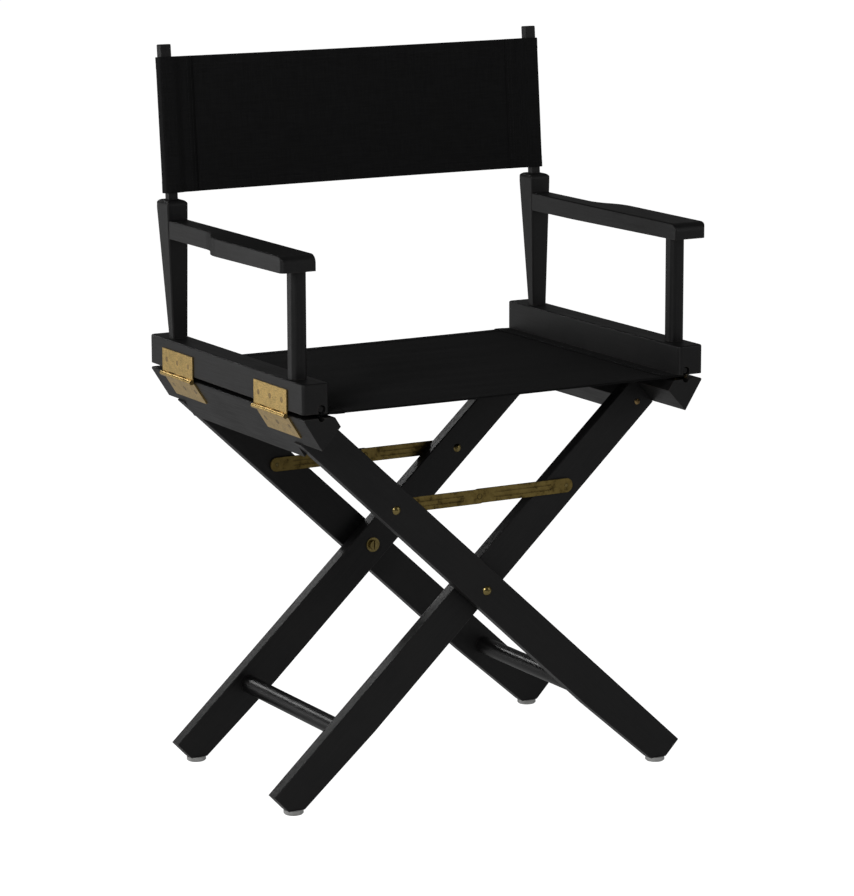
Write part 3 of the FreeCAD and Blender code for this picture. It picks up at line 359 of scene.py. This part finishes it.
def panel(name, half_width, low, high, place, material, seed):
    """A taut panel with a folded hem on its low and high edges. place(u, v, n) gives the point at
    height n off the cloth's middle."""
    front, back = [], []
    for v in spaced(low, high, 8.0):
        distance = min(v - low, high - v)
        thick = hem_thickness(distance, GAUGE, GAUGE * 2.1)
        row_front, row_back = [], []
        for u in [half_width * (2 * k / PANEL_COLUMNS - 1) for k in range(PANEL_COLUMNS + 1)]:
            held = 1 - (u / half_width) ** 2
            waist = 0.6 * held * (1 if v < (low + high) / 2 else -1) * max(0.0, 1 - distance / 60)
            off = wrinkle(u, v, seed) * held * min(1.0, distance / 25)
            beside_stitches = math.exp(-((distance - STITCH_LINE) / 6) ** 2)
            off += 0.35 * puckers(u, seed + v * 0.001) * beside_stitches * min(1, held * 8)
            row_front.append(place(u, v + waist, off + thick * 0.42))
            row_back.append(place(u, v + waist, off - thick * 0.58))
        front.append(row_front)
        back.append(row_back)
    return skin(name, front, back, material)


def rounded(points, radius, steps=5):
    """A path whose inner corners are rounded off."""
    path = [Vector(points[0])]
    for before, corner, after in zip(points, points[1:], points[2:]):
        before, corner, after = Vector(before), Vector(corner), Vector(after)
        reach = min(radius, (corner - before).length * 0.45, (after - corner).length * 0.45)
        start = corner + (before - corner).normalized() * reach
        end = corner + (after - corner).normalized() * reach
        for k in range(steps + 1):
            t = k / steps
            path.append(start * (1 - t) ** 2 + corner * 2 * t * (1 - t) + end * t * t)
    path.append(Vector(points[-1]))
    return path


def sleeve(name, path, low, high, place, material):
    """A strip of cloth that follows a path in (x, n) and has a folded hem at its low and high ends."""
    outward = []
    for k in range(len(path)):
        ahead, behind = path[min(k + 1, len(path) - 1)], path[max(k - 1, 0)]
        way = (ahead - behind).normalized()
        outward.append(Vector((-way.y, way.x)))
    front, back = [], []
    for v in spaced(low, high, 10.0):
        thick = hem_thickness(min(v - low, high - v), GAUGE, GAUGE * 1.4)
        front.append([place(*(p + n * thick / 2), v) for p, n in zip(path, outward)])
        back.append([place(*(p - n * thick / 2), v) for p, n in zip(path, outward)])
    return skin(name, front, back, material)


def stitches(name, rows, material):
    """Rows of short sewn stitches. A row is (start, end, way up), in millimetres."""
    pitch, length, thick = 3.6, 2.7, 0.38
    mesh = bmesh.new()
    for start, end, up in rows:
        start, end, up = Vector(start), Vector(end), Vector(up).normalized()
        run = end - start
        count = int(run.length / pitch)
        way, side = run.normalized(), run.normalized().cross(up)
        for k in range(count):
            centre = start + way * (pitch * (k + 0.5) + (run.length - count * pitch) / 2)
            rings = []
            for t in (-1.0, -0.72, -0.3, 0.3, 0.72, 1.0):
                girth = thick * math.sqrt(max(0.04, 1 - t * t))
                lift = 0.22 * (1 - t * t)
                middle = centre + way * (t * length / 2) + up * lift
                spokes = [side * math.cos(math.pi * q / 3) + up * math.sin(math.pi * q / 3)
                          for q in range(6)]
                rings.append([mesh.verts.new((middle + spoke * girth) * MM) for spoke in spokes])
            for one, other in zip(rings, rings[1:]):
                for q in range(6):
                    mesh.faces.new((one[q], one[(q + 1) % 6], other[(q + 1) % 6], other[q]))
            mesh.faces.new(rings[0][::-1])
            mesh.faces.new(rings[-1])
    bmesh.ops.recalc_face_normals(mesh, faces=mesh.faces)
    return new_piece(name, mesh, material)


ARMS = {"left": -1, "right": 1}


def hang_in_middle(piece):
    """Holds a middle panel by the left arm, on a mesh of its own."""
    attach(piece, "left_arm")
    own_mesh(piece)


# seat: a panel between two sleeves that go up through the rails' grooves, round the dowels
SEAT_LEVEL, SEAT_DEPTH, SEAT_SEAM, SEAT_SAG = 534.6, 432.0, 244.0, 0.7
DOWEL_X, DOWEL_LEVEL = 268.0, 541.2


def seat_place(u, v, n):
    """u is the place along X, v along Y, and n the height above the cloth's middle."""
    sag = SEAT_SAG * (1 - (u / SEAT_SEAM) ** 2) if abs(u) < SEAT_SEAM else 0.0
    return (u, v, SEAT_LEVEL + n - sag)


half_depth = SEAT_DEPTH / 2
seat = panel("seat_cloth", SEAT_SEAM, -half_depth, half_depth, seat_place, seat_cloth, 3.0)
seat_hem_rows = [((-238, y, SEAT_LEVEL + n - 0.15), (238, y, SEAT_LEVEL + n - 0.15), (0, 0, n))
                 for y in (-half_depth + STITCH_LINE, half_depth - STITCH_LINE)
                 for n in (STITCH_FRONT, STITCH_BACK)]


def lay_on_seat(piece):
    """Lowers a straight row of stitches onto the sagging cloth."""
    for vertex in piece.data.vertices:
        share = (vertex.co.x / (SEAT_SEAM * MM)) ** 2
        vertex.co.z -= SEAT_SAG * MM * (1 - min(1.0, share))


seat_stitches = stitches("seat_hem_stitches", seat_hem_rows, black_thread)
lay_on_seat(seat_stitches)
for piece in (seat, seat_stitches):
    hang_in_middle(piece)
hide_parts("seat_canvas")

loop = [(math.radians(a), 4.45) for a in range(245, -65, -15)]
ring = [(DOWEL_X + r * math.cos(a), DOWEL_LEVEL + r * math.sin(a)) for a, r in loop]
upper_ply = [(SEAT_SEAM - 10, SEAT_LEVEL + 1.15), (SEAT_SEAM + 2, SEAT_LEVEL + 1.1),
             (SEAT_SEAM + 8, SEAT_LEVEL + 0.62), (DOWEL_X - 1.3, SEAT_LEVEL + 0.62)]
lower_ply = [(DOWEL_X + 1.1, SEAT_LEVEL - 0.62), (SEAT_SEAM + 8, SEAT_LEVEL - 0.62),
             (SEAT_SEAM + 2, SEAT_LEVEL - 1.1), (SEAT_SEAM - 10, SEAT_LEVEL - 1.15)]
seat_sleeve_path = rounded(upper_ply + ring + lower_ply, radius=1.2, steps=3)
seat_sleeves = []
for arm, side in ARMS.items():
    made = sleeve(arm + "_seat_sleeve", seat_sleeve_path, -half_depth, half_depth,
                  lambda x, n, v, side=side: (x * side, v, n), seat_cloth)
    seams = [((side * x, -half_depth + 4, SEAT_LEVEL + n * SEAM_STITCH),
              (side * x, half_depth - 4, SEAT_LEVEL + n * SEAM_STITCH), (0, 0, n))
             for x in (SEAT_SEAM - 7, SEAT_SEAM - 3) for n in (1, -1)]
    sewn = stitches(arm + "_seat_seam_stitches", seams, black_thread)
    for piece in (made, sewn):
        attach(piece, arm + "_arm")
    seat_sleeves += [made, sewn]

# back: a panel between two sleeves that slip over the back sticks
STICK_X, STICK_FOOT, STICK_LEVEL = 277.0, 181.2, 757.0
BACK_LOW, BACK_HIGH, BACK_SEAM = 765.0, 942.0, 250.0


def back_place(u, v, n):
    """v is the height above the posts' tops along the sticks, n the distance in front of them."""
    return (u, STICK_FOOT + math.sin(LEAN) * v - math.cos(LEAN) * n,
            STICK_LEVEL + math.cos(LEAN) * v + math.sin(LEAN) * n)


low, high = ((level - STICK_LEVEL) / math.cos(LEAN) for level in (BACK_LOW, BACK_HIGH))
back = panel("back_cloth", BACK_SEAM, low, high, back_place, back_cloth, 11.0)
to_front, to_back = (0, -math.cos(LEAN), math.sin(LEAN)), (0, math.cos(LEAN), -math.sin(LEAN))
back_hem_rows = [(back_place(-BACK_SEAM + 6, v, n), back_place(BACK_SEAM - 6, v, n), up)
                 for v in (low + STITCH_LINE, high - STITCH_LINE)
                 for n, up in ((STITCH_FRONT, to_front), (STITCH_BACK, to_back))]
back_stitches = stitches("back_hem_stitches", back_hem_rows, black_thread)
for piece in (back, back_stitches):
    hang_in_middle(piece)
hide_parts("back_canvas")

wrap, out, face = 7.55, STICK_X + 9.7, STICK_X - 9.2
front_ply = [(BACK_SEAM - 12, 1.15), (BACK_SEAM + 1, 1.1), (BACK_SEAM + 6, 0.62), (face, wrap)]
rear_ply = [(x, -n) for x, n in reversed(front_ply)]
back_sleeve_path = rounded(front_ply + [(out, wrap), (out, -wrap)] + rear_ply, radius=3.4)
back_sleeves = []
for arm, side in ARMS.items():
    made = sleeve(arm + "_back_sleeve", back_sleeve_path, low, high,
                  lambda x, n, v, side=side: back_place(x * side, v, n), back_cloth)
    seams = [(back_place(side * x, low + 3, n * SEAM_STITCH),
              back_place(side * x, high - 3, n * SEAM_STITCH), up)
             for x in (BACK_SEAM - 9, BACK_SEAM - 4) for n, up in ((1, to_front), (-1, to_back))]
    sewn = stitches(arm + "_back_seam_stitches", seams, black_thread)
    for piece in (made, sewn):
        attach(piece, arm + "_arm")
    back_sleeves += [made, sewn]

for piece in seat_sleeves + back_sleeves:
    if "sleeve" in piece.name:
        arm = piece.name.split("_")[0]

# ---- camera, lights and floor -------------------------------------------------------------------

IMAGE_WIDTH, IMAGE_HEIGHT = 854, 896
CAMERA_AZIMUTH, CAMERA_ELEVATION = -30.2, 11.1
CAMERA_PLACE = (-2.3526, -4.1885, 1.3967)
FOCAL_PIXELS = 3703.1
CENTRE_PIXELS = (480.1, 428.2)
SENSOR = 36.0


def add_camera():
    """The camera of the picture, aimed by its azimuth and elevation and shifted to its centre."""
    data = bpy.data.cameras.new("camera")
    camera = bpy.data.objects.new("camera", data)
    bpy.context.scene.collection.objects.link(camera)
    a, e = math.radians(CAMERA_AZIMUTH), math.radians(CAMERA_ELEVATION)
    back_way = Vector((math.sin(a) * math.cos(e), -math.cos(a) * math.cos(e), math.sin(e)))
    camera.location = CAMERA_PLACE
    camera.rotation_euler = (-back_way).to_track_quat("-Z", "Y").to_euler()
    longest = max(IMAGE_WIDTH, IMAGE_HEIGHT)
    data.sensor_width = SENSOR
    data.lens = FOCAL_PIXELS * SENSOR / longest
    data.shift_x = (IMAGE_WIDTH / 2 - CENTRE_PIXELS[0]) / longest
    data.shift_y = (CENTRE_PIXELS[1] - IMAGE_HEIGHT / 2) / longest
    bpy.context.scene.camera = camera


def add_softbox(name, place, target, size, power, spread=180.0):
    """An area light aimed at a target. spread is how wide its beam fans out, in degrees."""
    data = bpy.data.lights.new(name, "AREA")
    data.shape = "RECTANGLE"
    data.size, data.size_y = size
    data.energy = power
    data.spread = math.radians(spread)
    lamp = bpy.data.objects.new(name, data)
    lamp.location = place
    lamp.rotation_euler = (Vector(target) - Vector(place)).to_track_quat("-Z", "Y").to_euler()
    lamp.visible_camera = False
    bpy.context.scene.collection.objects.link(lamp)


def seen_or_not(tree, socket, seen, otherwise):
    """Feeds a socket one value where the camera sees the studio, another where it lights the chair."""
    ray = tree.nodes.new("ShaderNodeLightPath")
    strength = tree.nodes.new("ShaderNodeMapRange")
    strength.inputs["To Min"].default_value = otherwise
    strength.inputs["To Max"].default_value = seen
    tree.links.new(ray.outputs["Is Camera Ray"], strength.inputs["Value"])
    tree.links.new(strength.outputs["Result"], socket)


def add_floor():
    """A pale floor that glows enough to run on into the white behind it."""
    mesh = bpy.data.meshes.new("floor")
    reach = 40.0
    mesh.from_pydata([(-reach, -reach, 0), (reach, -reach, 0), (reach, reach, 0), (-reach, reach, 0)],
                     [], [(0, 1, 2, 3)])
    floor = bpy.data.objects.new("floor", mesh)
    bpy.context.scene.collection.objects.link(floor)
    material = bpy.data.materials.new("pale_floor")
    material.use_nodes = True
    shader = material.node_tree.nodes["Principled BSDF"]
    shader.inputs["Base Color"].default_value = (0.7, 0.7, 0.7, 1)
    shader.inputs["Roughness"].default_value = 0.9
    shader.inputs["Specular IOR Level"].default_value = 0.0
    shader.inputs["Emission Color"].default_value = (1, 1, 1, 1)
    seen_or_not(material.node_tree, shader.inputs["Emission Strength"], 0.95, 0.15)
    mesh.materials.append(material)


def set_world():
    """White behind the chair for the camera, and a dim even room for the light."""
    world = bpy.data.worlds.new("studio")
    world.use_nodes = True
    background = world.node_tree.nodes["Background"]
    seen_or_not(world.node_tree, background.inputs["Strength"], 1.0, 0.10)
    background.inputs["Color"].default_value = (1, 1, 1, 1)
    bpy.context.scene.world = world
    bpy.context.scene.view_settings.view_transform = "Standard"


add_camera()
add_floor()
set_world()
middle = (0, 0, 0.5)
add_softbox("left_back", (-2.8, 2.2, 0.9), middle, (1.8, 1.6), 24)
add_softbox("key", (-2.8, -1.9, 2.0), middle, (1.0, 1.4), 37)
add_softbox("low_rim", (-0.7, 3.0, 2.0), (-0.1, 0, 0.0), (0.9, 0.9), 0.26, spread=17.0)
add_softbox("fill", (2.4, -2.6, 1.8), middle, (2.0, 2.0), 12)
